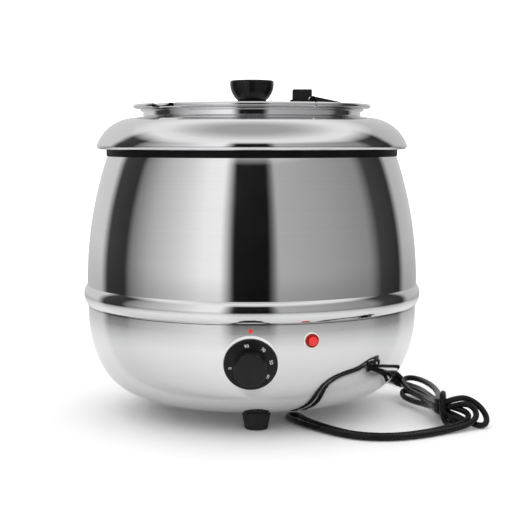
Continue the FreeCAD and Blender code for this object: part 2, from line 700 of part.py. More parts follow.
# ---- heating and wiring -----------------------------------------------------------------------
def make_heating():
    low = well_floor_z - stud_length
    studs = [Part.makeCylinder(stud_r, stud_length, polar(stud_place_r, a, low))
             for a in stud_azimuths]
    save("clamp_studs", Part.Compound(studs))
    plate = Part.makeCylinder(heater_plate_r, heater_plate, Vector(0, 0, heater_z))
    save("heater_plate", plate.cut(studs))
    half = element_r - element_flat
    flat = math.sqrt(element_r**2 - half**2)
    middle = heater_z - half
    tube_face = Walk(element_ring_r + flat, middle - half)
    tube_face.arc(element_ring_r + element_r, middle, element_ring_r + flat, middle + half)
    tube_face.line(element_ring_r - flat, middle + half)
    tube_face.arc(element_ring_r - element_r, middle, element_ring_r - flat, middle - half)
    gap = element_gap / 2
    element = around(270.0 + gap, tube_face.turned(360.0 - element_gap))
    for azimuth in (270.0 - gap, 270.0 + gap):
        start = polar(element_ring_r, azimuth, middle)
        end = polar(element_ring_r + 33.0, azimuth, middle)
        element = element.fuse(rod(2.4, start, end))
    save("heating_element", element.removeSplitter())
    clamp = ring(28.0, clamp_r, clamp_top_z - clamp_plate, clamp_top_z)
    save("element_clamp", clamp.cut(studs))
    nuts = [prism(4.3, 4.0, clamp_top_z - clamp_plate - 4.0).cut(Part.makeCylinder(stud_r, 60))
            for a in stud_azimuths]
    for nut, azimuth in zip(nuts, stud_azimuths):
        nut.translate(polar(stud_place_r, azimuth))
    save("clamp_nuts", Part.Compound(nuts))
    cutout = Part.makeCylinder(cutout_r, 5.5, Vector(0, 0, heater_z - 5.5))
    cutout = cutout.fuse(block(-12.0, 12.0, -2.5, 2.5, heater_z - 6.3, heater_z - 5.5))
    save("thermal_cutout", cutout)
    half = bulb_length / 2
    bulb_z = heater_z - bulb_r
    save("sensing_bulb", rod(bulb_r, (-half, bulb_y, bulb_z), (half, bulb_y, bulb_z)))

    low = clamp_top_z - clamp_plate - 4.0
    dial = facing(*outward_at(270.0, dial_z))
    face = -0.45 * thermostat_width
    depth = -thermostat_set_back - 0.4 * thermostat_depth
    entry = dial.multVec(Vector(-12.0, face, depth))
    below = dial.multVec(Vector(-12.0, face - 12.0, depth))
    path = [(-half, bulb_y, bulb_z), (-half - 7, bulb_y, bulb_z), (-34, 10, bulb_z),
            (-22, -8, bulb_z - 3), (-12, -20, low), (-16, -60, low), (-22, -100, low),
            (-16, -128, low + 6), below, entry]
    save("capillary_tube", tube(path, capillary_r))


def make_wiring():
    floor = base_top_z
    y0, y1 = terminal_y
    x0, x1 = terminal_x
    terminal = block(x0, x1, y0, y1, floor, floor + 11)
    middle = (x0 + x1) / 2
    wells = [Part.makeCylinder(2.2, 8, Vector(middle, y, floor + 6)) for y in (-8, 4, 16)]
    save("terminal_block", terminal.cut(wells))
    earth = Part.makeCylinder(2.0, 11, Vector(*earth_place, floor))
    nut = prism(4.0, 3.2, floor + 2)
    nut.translate(Vector(*earth_place, 0))
    save("earth_screw", earth.fuse(nut).removeSplitter())

    low = floor + 6.0
    place, outward = outward_at(gland_azimuth, gland_z, gland_slope)
    inside = place - outward * gland_inside
    sleeve = [inside, inside - outward * 8, (112, 46, low + 6), (100, 40, low), (100, y1, low)]
    dial = facing(*outward_at(270.0, dial_z))
    lamp = facing(*outward_at(270.0 + lamp_azimuth, lamp_z))
    tip = -0.45 * thermostat_width - blade_length
    back = -thermostat_set_back - thermostat_depth + 6.0
    ends = [dial.multVec(Vector(x, tip, back)) for x in blade_x]
    under = [dial.multVec(Vector(x, tip - 10, back)) for x in blade_x]
    lamp_end = lamp.multVec(Vector(2.4, -1.5, -lamp_body_length - 3))
    lamp_under = lamp.multVec(Vector(2.4, -14, -lamp_body_length - 3))
    feed = [(92, y0, low), (92, -26, low), (82, -52, low), (62, -88, low), (34, -118, low + 4),
            under[1], ends[1]]
    lamp_feed = [(100, y0, low), (100, -34, low), (92, -76, low + 4), (76, -108, low + 18),
                 (64, -126, low + 34), lamp_under, lamp_end]
    azimuth = 270.0 - element_gap / 2
    level = heater_z - element_r + element_flat
    cold = [polar(element_ring_r + reach, azimuth, level) for reach in (33, 42)]
    element_feed = [ends[0], under[0], (-10, -126, level + 2), cold[1], cold[0]]
    wires = [tube(sleeve, 2.4), tube(feed, 1.2), tube(lamp_feed, 1.2), tube(element_feed, 1.2)]
    save("inner_wiring", Part.Compound(wires))


# ---- mains lead ---------------------------------------------------------------------------------
def tube(points, radius, shown=None):
    """A round tube: straight runs joined by arcs as large as the shorter run allows."""
    points = [Vector(*p) for p in points]
    here = points[0]
    edges = []
    radii = []
    for before, corner, after in zip(points, points[1:], points[2:]):
        way_in, way_out = (corner - before), (after - corner)
        reach = 0.45 * min(way_in.Length, way_out.Length)
        turn = way_in.getAngle(way_out)
        bend = reach / math.tan(turn / 2.0)
        way_in.normalize()
        way_out.normalize()
        leave, meet = corner - way_in * reach, corner + way_out * reach
        inward = (way_out - way_in).normalize()
        middle = corner + inward * (bend / math.cos(turn / 2.0) - bend)
        edges.append(Part.LineSegment(here, leave).toShape())
        edges.append(Part.Arc(leave, middle, meet).toShape())
        radii.append(bend)
        here = meet
    edges.append(Part.LineSegment(here, points[-1]).toShape())
    path = Part.Wire(edges)
    section = Part.Wire(Part.Circle(points[0], points[1] - points[0], radius).toShape())
    solid = path.makePipeShell([section], True, False)
    if shown:
        share = solid.Volume / (math.pi * radius**2 * path.Length)
        print(shown, "length %.1f" % path.Length, "volume share %.4f" % share,
              "radii", " ".join("%.1f" % r for r in radii))
    return solid


def gland_tip():
    place, outward = outward_at(gland_azimuth, gland_z, gland_slope)
    return place + outward * boot_length, outward


def make_gland():
    place, outward = outward_at(gland_azimuth, gland_z, gland_slope)
    boot = Walk(0, -gland_inside).line(boot_root_r, -gland_inside).line(boot_root_r, 6.0)
    boot.line(boot_tip_r, boot_length).line(0, boot_length)
    boot = boot.turned()
    pitch = (boot_length - 9.0) / boot_ribs
    for i in range(boot_ribs):
        low = 7.0 + i * pitch
        share = (low - 6.0) / (boot_length - 6.0)
        radius = boot_root_r + (boot_tip_r - boot_root_r) * share + rib_height
        boot = boot.fuse(ring(2.0, radius, low, low + 0.62 * pitch))
    boot = seated(boot.removeSplitter(), place, outward)
    flange = seated(ring(boot_root_r - 1.0, gland_flange_r, -8.0, 2.6), place, outward)
    boot = boot.fuse(flange.cut(body_solid())).removeSplitter()
    save("cord_gland", boot)


def make_cord():
    tip, outward = gland_tip()
    lead = [tip, tip + outward * 9.0] + [Vector(*p) for p in lead_points]
    save("cord_lead", tube(lead, cord_r, "cord_lead"))
    save("cord_bight", tube(bight_points, cord_r, "cord_bight"))
    save("cord_tail", tube(tail_points, cord_r, "cord_tail"))

    start, end = Vector(*hank_start, 0), Vector(*hank_end, 0)
    half = hank_width / 2
    along = (end - start).normalize()
    side = Vector(-along.y, along.x, 0)
    length = (Vector(*hank_end, 0) - start).Length
    corners = [start + side * half, start + side * -half,
               start + along * length + side * -half, start + along * length + side * half]
    edges = [
        Part.Arc(corners[0], start - along * half, corners[1]).toShape(),
        Part.LineSegment(corners[1], corners[2]).toShape(),
        Part.Arc(corners[2], start + along * (length + half), corners[3]).toShape(),
        Part.LineSegment(corners[3], corners[0]).toShape(),
    ]
    hank = Part.Face(Part.Wire(edges)).extrude(Vector(0, 0, hank_height))
    tops = [e for e in hank.Edges if abs(e.CenterOfMass.z - hank_height) < 0.01]
    save("cord_hank", hank.makeFillet(0.36 * hank_height, tops))

    points = [Vector(*p) for p in tail_points]
    way = (points[-1] - points[-2]).normalize()
    plug = Walk(0, 0).line(cord_r + 1.6, 0).line(cord_r + 3.2, 11.0).bend(plug_r - 1.0, 19.0)
    plug.line(plug_r, 21.0).line(plug_r, plug_length - 1.0).line(plug_r - 1.0, plug_length)
    save("plug_body", seated(plug.line(0, plug_length).turned(), points[-1], way))
    pins = []
    for y in (-9.5, 9.5):
        pin = Part.makeCylinder(2.4, 19.0, Vector(0, y, plug_length))
        pins.append(seated(pin.makeFillet(1.0, pin.Edges[:1]), points[-1], way))
    save("plug_pins", Part.Compound(pins))


# ---- make everything, centre it and write it out ---------------------------------------------------
make_lower_shell()
make_upper_shell()
make_base()
make_well()
make_gasket()
make_pot()
make_ring()
make_lid()
make_hinge()
make_knob()
make_dial()
make_lamp()
make_heating()
make_wiring()
make_gland()
make_cord()

on_the_cord = ("cord_gland", "cord_lead", "cord_hank", "cord_bight", "cord_tail", "plug_body", "plug_pins")
kettle = Part.Compound([shape for name, shape in nodes.items() if name not in on_the_cord])
box = kettle.optimalBoundingBox(True, False)
centre_y = box.Center.y
print("axis at y = %.3f" % -centre_y, "hinge pin z = %.3f" % pin_z, "kettle box", box)

os.makedirs("parts", exist_ok=True)
for name, shape in nodes.items():
    shape.translate(Vector(0, -centre_y, 0))
    shape.exportStep("parts/%s.step" % name)
print(len(nodes), "nodes")
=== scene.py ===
import json
import math

import bmesh
import bpy
from mathutils import Matrix, Vector


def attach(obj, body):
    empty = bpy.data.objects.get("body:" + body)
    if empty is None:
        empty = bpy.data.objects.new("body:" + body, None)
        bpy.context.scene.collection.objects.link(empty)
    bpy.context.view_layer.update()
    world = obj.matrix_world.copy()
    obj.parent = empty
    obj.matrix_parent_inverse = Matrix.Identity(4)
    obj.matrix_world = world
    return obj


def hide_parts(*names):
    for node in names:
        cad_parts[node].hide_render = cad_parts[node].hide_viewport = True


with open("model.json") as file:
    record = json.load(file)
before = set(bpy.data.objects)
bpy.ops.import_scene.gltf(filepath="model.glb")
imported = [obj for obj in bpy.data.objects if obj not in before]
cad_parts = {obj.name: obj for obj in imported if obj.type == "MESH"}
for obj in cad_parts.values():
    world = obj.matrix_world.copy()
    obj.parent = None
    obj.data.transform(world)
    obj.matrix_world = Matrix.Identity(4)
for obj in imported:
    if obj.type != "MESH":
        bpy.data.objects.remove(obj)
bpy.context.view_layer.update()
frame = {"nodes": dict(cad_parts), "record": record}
nodes = frame["nodes"]
axisY = 0.007578  # the body's own axis, a little behind the origin
print("cad loaded")


# small helpers

def clearSelection():
    if bpy.context.mode != "OBJECT":
        bpy.ops.object.mode_set(mode="OBJECT")
    bpy.ops.object.select_all(action="DESELECT")


def pickOnly(piece):
    clearSelection()
    piece.select_set(True)
    bpy.context.view_layer.objects.active = piece


def settle(piece):
    # the object goes to the origin and its place goes into its mesh
    pickOnly(piece)
    bpy.ops.object.transform_apply(location=True, rotation=True, scale=True)


def wear(piece, material):
    piece.data.materials.clear()
    piece.data.materials.append(material)


class Sock:
    # a shader socket that takes part in Python expressions
    def __init__(self, sheet, socket):
        self.sheet = sheet
        self.socket = socket

    def maths(self, kind, other, swapped=False):
        values = [other, self] if swapped else [self, other]
        return self.sheet.node("ShaderNodeMath", {"operation": kind}, dict(enumerate(values)))

    def __add__(self, other):
        return self.maths("ADD", other)

    __radd__ = __add__

    def __sub__(self, other):
        return self.maths("SUBTRACT", other)

    def __rsub__(self, other):
        return self.maths("SUBTRACT", other, True)

    def __mul__(self, other):
        return self.maths("MULTIPLY", other)

    __rmul__ = __mul__

    def __truediv__(self, other):
        return self.maths("DIVIDE", other)

    def __rtruediv__(self, other):
        return self.maths("DIVIDE", other, True)

    def __pow__(self, other):
        return self.maths("POWER", other)

    def __rpow__(self, other):
        return self.maths("POWER", other, True)


class Sheet:
    # one material, or the world, and the only way its nodes are made
    def __init__(self, name, world=None):
        self.material = world or bpy.data.materials.new(name)
        self.material.use_nodes = True
        self.tree = self.material.node_tree
        self.shader = self.tree.nodes["Background" if world else "Principled BSDF"]

    def node(self, kind, settings=None, inputs=None, out=0):
        made = self.tree.nodes.new(kind)
        for name, value in (settings or {}).items():
            if name == "stops":
                ramp = made.color_ramp
                while len(ramp.elements) < len(value):
                    ramp.elements.new(0.5)
                for element, (place, colour) in zip(ramp.elements, value):
                    element.position = place
                    element.color = colour if len(colour) == 4 else (*colour, 1.0)
            else:
                setattr(made, name, value)
        for name, value in (inputs or {}).items():
            self.feed(made.inputs[name], value)
        return Sock(self, made.outputs[out])

    def feed(self, socket, value):
        if isinstance(value, Sock):
            self.tree.links.new(value.socket, socket)
        else:
            socket.default_value = value

    def place(self):
        return self.node("ShaderNodeTexCoord", out=3)

    def axes(self, vector=None):
        split = self.node("ShaderNodeSeparateXYZ", inputs={0: vector or self.place()})
        outs = split.socket.node.outputs
        return [Sock(self, outs[i]) for i in range(3)]

    def noise(self, scale, detail=3.0, roughness=0.5, vector=None):
        inputs = {"Vector": vector or self.place(), "Scale": scale, "Detail": detail, "Roughness": roughness}
        return self.node("ShaderNodeTexNoise", inputs=inputs)

    def ramp(self, factor, *stops):
        return self.node("ShaderNodeValToRGB", {"stops": stops}, {0: factor})

    def span(self, value, low, high, newLow, newHigh):
        inputs = {0: value, 1: low, 2: high, 3: newLow, 4: newHigh}
        return self.node("ShaderNodeMapRange", inputs=inputs)

    def mix(self, factor, first, second):
        return self.node("ShaderNodeMix", {"data_type": "RGBA"}, {0: factor, 6: first, 7: second}, out=2)

    def bump(self, height, strength, distance):
        inputs = {"Height": height, "Strength": strength, "Distance": distance}
        self.feed(self.shader.inputs["Normal"], self.node("ShaderNodeBump", inputs=inputs))

    def set(self, **values):
        for name, value in values.items():
            self.feed(self.shader.inputs[name.replace("_", " ")], value)
        return self.material


def outline(start, heading, moves):
    # points (r, z) in millimetres of lines, tangent bends and three-point arcs
    points = [start]
    angle = math.radians(heading)
    for kind, *values in moves:
        if kind == "head":
            angle = math.radians(values[0])
            continue
        r0, z0 = points[-1]
        r1, z1 = values[-2:]
        chord = math.atan2(z1 - z0, r1 - r0)
        if kind == "line":
            points.append((r1, z1))
            angle = chord
            continue
        if kind == "arc":
            into = math.atan2(values[1] - z0, values[0] - r0)
            out = math.atan2(z1 - values[1], r1 - values[0])
            angle = chord - ((out - into + math.pi) % (2 * math.pi) - math.pi)
        turn = 2 * ((chord - angle + math.pi) % (2 * math.pi) - math.pi)
        span = math.hypot(r1 - r0, z1 - z0)
        radius = span / (2 * math.sin(turn / 2))
        centre = (r0 - radius * math.sin(angle), z0 + radius * math.cos(angle))
        steps = max(int(abs(math.degrees(turn)) / 6), int(span / 7), 3)
        for step in range(1, steps + 1):
            now = angle + turn * step / steps
            points.append((centre[0] + radius * math.sin(now), centre[1] - radius * math.cos(now)))
        angle += turn
    return points


def addModifier(piece, kind, **settings):
    pickOnly(piece)
    modifier = piece.modifiers.new(kind.lower(), kind)
    for name, value in settings.items():
        setattr(modifier, name, value)
    bpy.ops.object.modifier_apply(modifier=modifier.name)


def cutWith(piece, *cutters):
    for cutter in cutters:
        addModifier(piece, "BOOLEAN", operation="DIFFERENCE", solver="EXACT", object=cutter)
        bpy.data.objects.remove(cutter)


def smooth(piece, degrees=30):
    pickOnly(piece)
    bpy.ops.object.shade_smooth_by_angle(angle=math.radians(degrees))


def turned(name, points, wall=0.0, steps=160, upward=False):
    # a profile spun round the body's axis, with a wall on its inner side
    clearSelection()
    bpy.ops.mesh.primitive_plane_add(size=0.001, location=(0, 0, 0))
    piece = bpy.context.object
    piece.name = name
    bpy.ops.object.mode_set(mode="EDIT")
    bpy.ops.mesh.select_all(action="SELECT")
    bpy.ops.mesh.merge(type="CENTER")
    bpy.ops.transform.translate(value=(points[0][0] / 1000, axisY, points[0][1] / 1000))
    for before, after in zip(points, points[1:]):
        step = ((after[0] - before[0]) / 1000, 0, (after[1] - before[1]) / 1000)
        bpy.ops.mesh.extrude_region_move(TRANSFORM_OT_translate={"value": step})
    bpy.ops.mesh.select_all(action="SELECT")
    bpy.ops.mesh.spin(steps=steps, angle=2 * math.pi, center=(0, axisY, 0), axis=(0, 0, 1))
    bpy.ops.mesh.select_all(action="SELECT")
    bpy.ops.mesh.remove_doubles(threshold=0.000004)
    bpy.ops.mesh.normals_make_consistent(inside=False)
    widest = max(bmesh.from_edit_mesh(piece.data).faces,
                 key=lambda f: math.hypot(f.calc_center_median().x, f.calc_center_median().y - axisY))
    centre = widest.calc_center_median()
    facing = widest.normal.z if upward else widest.normal.dot(centre - Vector((0, axisY, centre.z)))
    if facing < 0:
        bpy.ops.mesh.flip_normals()
    bpy.ops.object.mode_set(mode="OBJECT")
    if wall:
        addModifier(piece, "SOLIDIFY", thickness=wall / 1000, offset=-1.0, use_even_offset=True)
    return piece


def rolledEdge(radius, roll, height):
    # a rolled bead round the body's axis
    clearSelection()
    bpy.ops.mesh.primitive_torus_add(location=(0, axisY, height / 1000), major_segments=160, minor_segments=16,
                                     major_radius=radius / 1000, minor_radius=roll / 1000)
    settle(bpy.context.object)
    return bpy.context.object


def joined(piece, *others):
    clearSelection()
    for other in others:
        other.select_set(True)
    piece.select_set(True)
    bpy.context.view_layer.objects.active = piece
    bpy.ops.object.join()


def trimmed(piece, x, keepLow):
    # the part of a piece on one side of a plane across X
    pickOnly(piece)
    bpy.ops.object.mode_set(mode="EDIT")
    bpy.ops.mesh.select_all(action="SELECT")
    bpy.ops.mesh.bisect(plane_co=(x / 1000, 0, 0), plane_no=(1, 0, 0), use_fill=True,
                        clear_outer=keepLow, clear_inner=not keepLow, threshold=0.000001)
    bpy.ops.object.mode_set(mode="OBJECT")


def rodBetween(name, start, end, radius, sides=48):
    middle = (start + end) / 2
    clearSelection()
    bpy.ops.mesh.primitive_cylinder_add(vertices=sides, radius=radius, depth=(end - start).length,
                                        location=middle, rotation=(end - start).to_track_quat("Z", "Y").to_euler())
    piece = bpy.context.object
    piece.name = name
    settle(piece)
    return piece


def seated(piece, place, outward):
    # a piece drawn about +Z at the origin goes to a place on the bowl, X to the viewer's right
    side = Vector((0, 0, 1)).cross(outward).normalized()
    matrix = Matrix((side, outward.cross(side), outward)).transposed().to_4x4()
    matrix.translation = place
    piece.matrix_world = matrix @ piece.matrix_world
    settle(piece)


def standFor(piece, material, slotName, *members):
    wear(piece, material)
    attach(piece, bodyOf[members[0]])
    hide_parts(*members)


bodyOf = {}
for bodyName, members in frame["record"]["behaviour"]["bodies"].items():
    for member in members:
        bodyOf[member] = bodyName


# camera

camera = {"distance": 1.2755, "height": 0.2748, "tilt": 5.51, "lens": 86.7, "around": 0.45, "aside": 0.366}


def makeCamera():
    around = math.radians(camera["around"])
    reach = camera["distance"]
    place = (reach * math.sin(around), axisY - reach * math.cos(around), camera["height"])
    turn = (math.radians(90 - camera["tilt"]), 0.0, around - math.radians(camera["aside"]))
    bpy.ops.object.camera_add(location=place, rotation=turn)
    eye = bpy.context.object
    eye.data.lens = camera["lens"]
    eye.data.sensor_width = 36.0
    eye.data.clip_start = 0.05
    eye.data.clip_end = 60.0
    bpy.context.scene.camera = eye


makeCamera()
print("camera made")


# finishes

steel = {"tint": (0.86, 0.86, 0.87, 1), "worn": (0.83, 0.83, 0.84, 1), "seamShade": (0.02, 0.02, 0.02, 1),
         "marks": 0.008, "markDepth": 0.0003, "outward": 300.0, "upward": 900.0}


def makePolished(name, low, high, seam=None):
    # polished sheet: faint smudges, fine marks that run round the axis, and painted shade in a seam
    sheet = Sheet(name)
    x, y, z = sheet.axes()
    fromAxis = ((x * x) + (y - axisY) * (y - axisY)) ** 0.5
    rings = sheet.node("ShaderNodeCombineXYZ", inputs={0: fromAxis * steel["outward"], 2: z * steel["upward"]})
    marks = sheet.noise(1.0, 4.0, 0.6, rings)
    smudge = sheet.noise(14.0, 3.0) + sheet.noise(150.0, 2.0) * 0.2
    base = sheet.mix(sheet.span(marks, 0.35, 0.7, 0.0, 1.0), steel["tint"], steel["worn"])
    sheet.bump(marks, steel["marks"], steel["markDepth"])
    if seam:
        # painted shade: a dark band just under the seam stands in for the shade in the gap below the bead
        base = sheet.mix(sheet.span(z, seam - 0.0009, seam - 0.0005, 0.0, 1.0), base, steel["seamShade"])
    return sheet.set(Base_Color=base, Roughness=sheet.span(smudge, 0.45, 0.8, low, high), Metallic=1.0)


def makePlain(name, dark, light, low, high, grain=700.0, relief=0.12, **values):
    # a moulded, cast or plated finish with fine grain
    sheet = Sheet(name)
    colour = sheet.mix(sheet.span(sheet.noise(35.0, 4.0), 0.35, 0.65, 0.0, 1.0), (*dark, 1), (*light, 1))
    rough = sheet.span(sheet.noise(120.0, 3.0), 0.3, 0.7, low, high)
    sheet.bump(sheet.noise(grain, 2.0), relief, 0.0003)
    return sheet.set(Base_Color=colour, Roughness=rough, **values)


polished = makePolished("polishedSteel", 0.045, 0.085)
# the bowl's finish carries painted shade along its seam with the barrel
seamed = makePolished("polishedBowl", 0.05, 0.09, seam=0.1096)
satin = makePolished("satinSteel", 0.22, 0.32)
zinc = makePlain("zincPlate", (0.52, 0.52, 0.50), (0.64, 0.63, 0.60), 0.28, 0.45, Metallic=1.0)
aluminium = makePlain("plainAluminium", (0.72, 0.72, 0.73), (0.80, 0.80, 0.81), 0.3, 0.45, Metallic=1.0)
# painted reflection: pale grey non-metal paint stands in for the bright ring the chrome bezel reflects
paintedSheenTrim = makePlain("paintedSheenTrim", (0.66, 0.66, 0.66), (0.78, 0.78, 0.78), 0.3, 0.38, relief=0.03)
dialBlack = makePlain("dialBlack", (0.004, 0.004, 0.0045), (0.008, 0.008, 0.0085), 0.3, 0.42, relief=0.06,
                      Specular_IOR_Level=0.28)
blockBlack = makePlain("blockBlack", (0.004, 0.004, 0.004), (0.008, 0.008, 0.008), 0.42, 0.6, Specular_IOR_Level=0.28)
knobBlack = makePlain("knobBlack", (0.003, 0.003, 0.0035), (0.006, 0.006, 0.0065), 0.2, 0.27, relief=0.04,
                      Specular_IOR_Level=0.28)
rubber = makePlain("footRubber", (0.006, 0.006, 0.0065), (0.012, 0.012, 0.012), 0.5, 0.7, Specular_IOR_Level=0.28)
seal = makePlain("gasketBlack", (0.002, 0.002, 0.002), (0.004, 0.004, 0.004), 0.45, 0.6, Specular_IOR_Level=0.15)
cordBlack = makePlain("cordBlack", (0.003, 0.003, 0.0035), (0.006, 0.006, 0.0065), 0.2, 0.3, 900.0, 0.02,
                      Specular_IOR_Level=0.2)
ceramic = makePlain("glazedCeramic", (0.78, 0.76, 0.70), (0.86, 0.84, 0.78), 0.25, 0.4)
paleRing = makePlain("paleRing", (0.66, 0.74, 0.70), (0.76, 0.82, 0.78), 0.25, 0.35, relief=0.04)
copper = makePlain("copperTube", (0.62, 0.33, 0.20), (0.74, 0.42, 0.26), 0.25, 0.42, Metallic=1.0)
numeralInk = makePlain("numeralInk", (0.62, 0.62, 0.62), (0.78, 0.78, 0.78), 0.4, 0.5, relief=0.03)
redLens = makePlain("redLens", (0.50, 0.010, 0.010), (0.60, 0.016, 0.016), 0.08, 0.14, relief=0.03,
                    Coat_Weight=0.5, Emission_Color=(0.8, 0.03, 0.03, 1), Emission_Strength=0.04)
# painted shade: a darker copy of the red lens colour, for the lens's sloping outer ring
shadedLensRed = makePlain("shadedLensRed", (0.22, 0.004, 0.004), (0.32, 0.008, 0.008), 0.08, 0.14, relief=0.03, Coat_Weight=0.5)
gemRed = makePlain("gemRed", (0.55, 0.02, 0.006), (0.66, 0.035, 0.01), 0.1, 0.2, relief=0.03, Coat_Weight=0.5)
finishes = {"polished_steel": polished, "satin_steel": satin, "zinc": zinc, "aluminium": aluminium,
            "black_plastic": blockBlack, "gloss_black": knobBlack, "black_rubber": rubber, "red_lens": redLens,
            "lamp_white": paleRing, "ceramic": ceramic, "copper": copper, "cord": cordBlack}
for part in frame["record"]["subparts"]:
    nodes[part["node"]].material_slots[0].material = finishes[part["material_slot"]]
print("finishes made")


# body: bowl and barrel

shell = {"wall": 0.8, "hemR": 116.0, "hemZ": 18.5, "flangeR": 94.0, "kneeR": 155.9, "kneeZ": 52.5,
         "bowlR": 166.1, "bowlTopZ": 101.0, "seamZ": 109.6, "edge": 1.2, "beadR": 170.4, "beadTall": 20.4,
         "topR": 146.1, "topZ": 257.7, "rimR": 144.6, "rimZ": 259.2, "ledge": 10.0}
slotAcross = {"azimuth": 5.2, "z": 21.4, "long": 9.6, "tall": 2.4, "from": 105.0, "deep": 30.0}
boreR = 0.0062
# the dial's place on the bowl and its outward way, as in CAD
dialAt = Vector((0, -0.155502, 0.0742))
dialWay = Vector((0, -0.974915, -0.22258))


def bowlOutline():
    s = shell
    knee = math.degrees(math.atan2(s["bowlR"] - s["kneeR"], s["bowlTopZ"] - s["kneeZ"]))
    chord = math.degrees(math.atan2(s["kneeZ"] - s["hemZ"] - 0.5, s["kneeR"] - s["hemR"] - 0.8))
    return outline((s["flangeR"], s["hemZ"]), 0, [
        ("line", s["hemR"] - 1.0, s["hemZ"]), ("bend", s["hemR"] + 0.8, s["hemZ"] + 0.5),
        ("head", 2 * chord - 90 + 2 * knee), ("bend", s["kneeR"], s["kneeZ"]),
        ("bend", s["bowlR"], s["bowlTopZ"]), ("line", s["bowlR"], s["seamZ"] + 5.0)])


def makeBody():
    s = shell
    bowl = turned("bowl", bowlOutline(), s["wall"], 192)
    bore = rodBetween("bore", dialAt - dialWay * 0.012, dialAt + dialWay * 0.006, boreR)
    angle = math.radians(slotAcross["azimuth"])
    way = Vector((math.sin(angle), -math.cos(angle), 0))
    start = Vector((0, axisY, slotAcross["z"] / 1000)) + way * slotAcross["from"] / 1000
    clearSelection()
    middle = start + way * slotAcross["deep"] / 2000
    bpy.ops.mesh.primitive_cube_add(size=1, location=middle, rotation=(0, 0, angle))
    vent = bpy.context.object
    vent.scale = (slotAcross["long"] / 1000, slotAcross["deep"] / 1000, slotAcross["tall"] / 1000)
    settle(vent)
    cutWith(bowl, bore, vent)
    smooth(bowl)
    standFor(bowl, seamed, "polished_steel", "lower_shell")
    edge = s["bowlR"] + s["wall"]
    barrel = turned("barrel", outline((edge, s["seamZ"]), 90, [
        ("line", edge, s["seamZ"] + s["edge"]),
        ("arc", s["beadR"], s["seamZ"] + s["beadTall"] / 2, edge, s["seamZ"] + s["beadTall"]),
        ("head", 90), ("bend", s["topR"], s["topZ"]), ("bend", s["rimR"], s["rimZ"]),
        ("line", s["rimR"] - s["ledge"], s["rimZ"])]), s["wall"], 192)
    smooth(barrel, 24)
    standFor(barrel, polished, "polished_steel", "upper_shell")


makeBody()
print("body made")


# black gasket and domed ring

dome = {"footR": 138.8, "footZ": 264.6, "lipR": 156.7, "lipRound": 4.2, "lean": 20.0, "domeR": 126.5,
        "domeZ": 295.2, "shoulder": 1.3, "neckR": 109.6, "neckTall": 7.6, "roll": 1.9}
# the lip hangs over the body's rim, and is in the scene only: a black sheet that widens the band under the ring,
# partly the real gasket and partly painted shade under the ring's lip
gasket = {"boreR": 131.8, "bandR": 144.8, "lipR": 146.7, "low": 260.0, "lipLow": 258.3, "top": 264.55}


def makeRing():
    d = dome
    neckZ = d["domeZ"] + d["shoulder"]
    ring = turned("domedRing", outline((d["footR"], d["footZ"]), 0, [
        ("line", d["lipR"] - d["lipRound"], d["footZ"]), ("bend", d["lipR"] - 0.3, d["footZ"] + d["lipRound"]),
        ("head", 90 + d["lean"]), ("bend", d["domeR"], d["domeZ"]), ("bend", d["neckR"] + 2.2, neckZ),
        ("head", 180), ("bend", d["neckR"], neckZ + 2.2), ("line", d["neckR"], neckZ + d["neckTall"])]),
        shell["wall"], 192)
    joined(ring, rolledEdge(d["neckR"] - shell["wall"] + d["roll"], d["roll"], neckZ + d["neckTall"]))
    smooth(ring)
    standFor(ring, polished, "polished_steel", "dome_ring")
    g = gasket
    # the lower, wider lip is partly the gasket and partly painted shade
    band = turned("gasket", [
        (g["boreR"], g["low"]), (g["bandR"], g["low"]), (g["lipR"] - 0.5, g["lipLow"]), (g["lipR"], g["lipLow"]),
        (g["lipR"], g["top"] - 0.45), (g["lipR"] - 0.4, g["top"]), (g["boreR"], g["top"]), (g["boreR"], g["low"])])
    smooth(band)
    standFor(band, seal, "black_rubber", "rim_gasket")


makeRing()
print("ring made")


# lid: flap, fixed segment and the knob

lid = {"seatZ": 307.1, "rise": 2.8, "slopeR": 106.3, "slope": 6.5, "seat": 5.6, "lidR": 119.7, "roll": 2.1,
       "hingeX": 60.6, "split": 1.4, "notchAt": 225.0, "notchWide": 32.0, "notchDeep": 27.0, "lipR": 108.8}
knob = {"boreR": 2.0, "footR": 16.0, "footTall": 3.4, "neckR": 14.0, "wideR": 22.1, "tall": 21.0, "belly": 1.0}


def lidDisc(name):
    v = lid
    panel = v["seatZ"] + v["rise"]
    disc = turned(name, outline((0, panel), 0, [
        ("line", v["slopeR"] - v["slope"], panel), ("line", v["slopeR"], v["seatZ"]),
        ("line", v["slopeR"] + v["seat"], v["seatZ"]),
        ("line", v["lidR"] - v["roll"] - 1.2, v["seatZ"] + 1.6)]), shell["wall"], upward=True)
    return disc, rolledEdge(v["lidR"] - v["roll"], v["roll"], v["seatZ"] + 0.3)


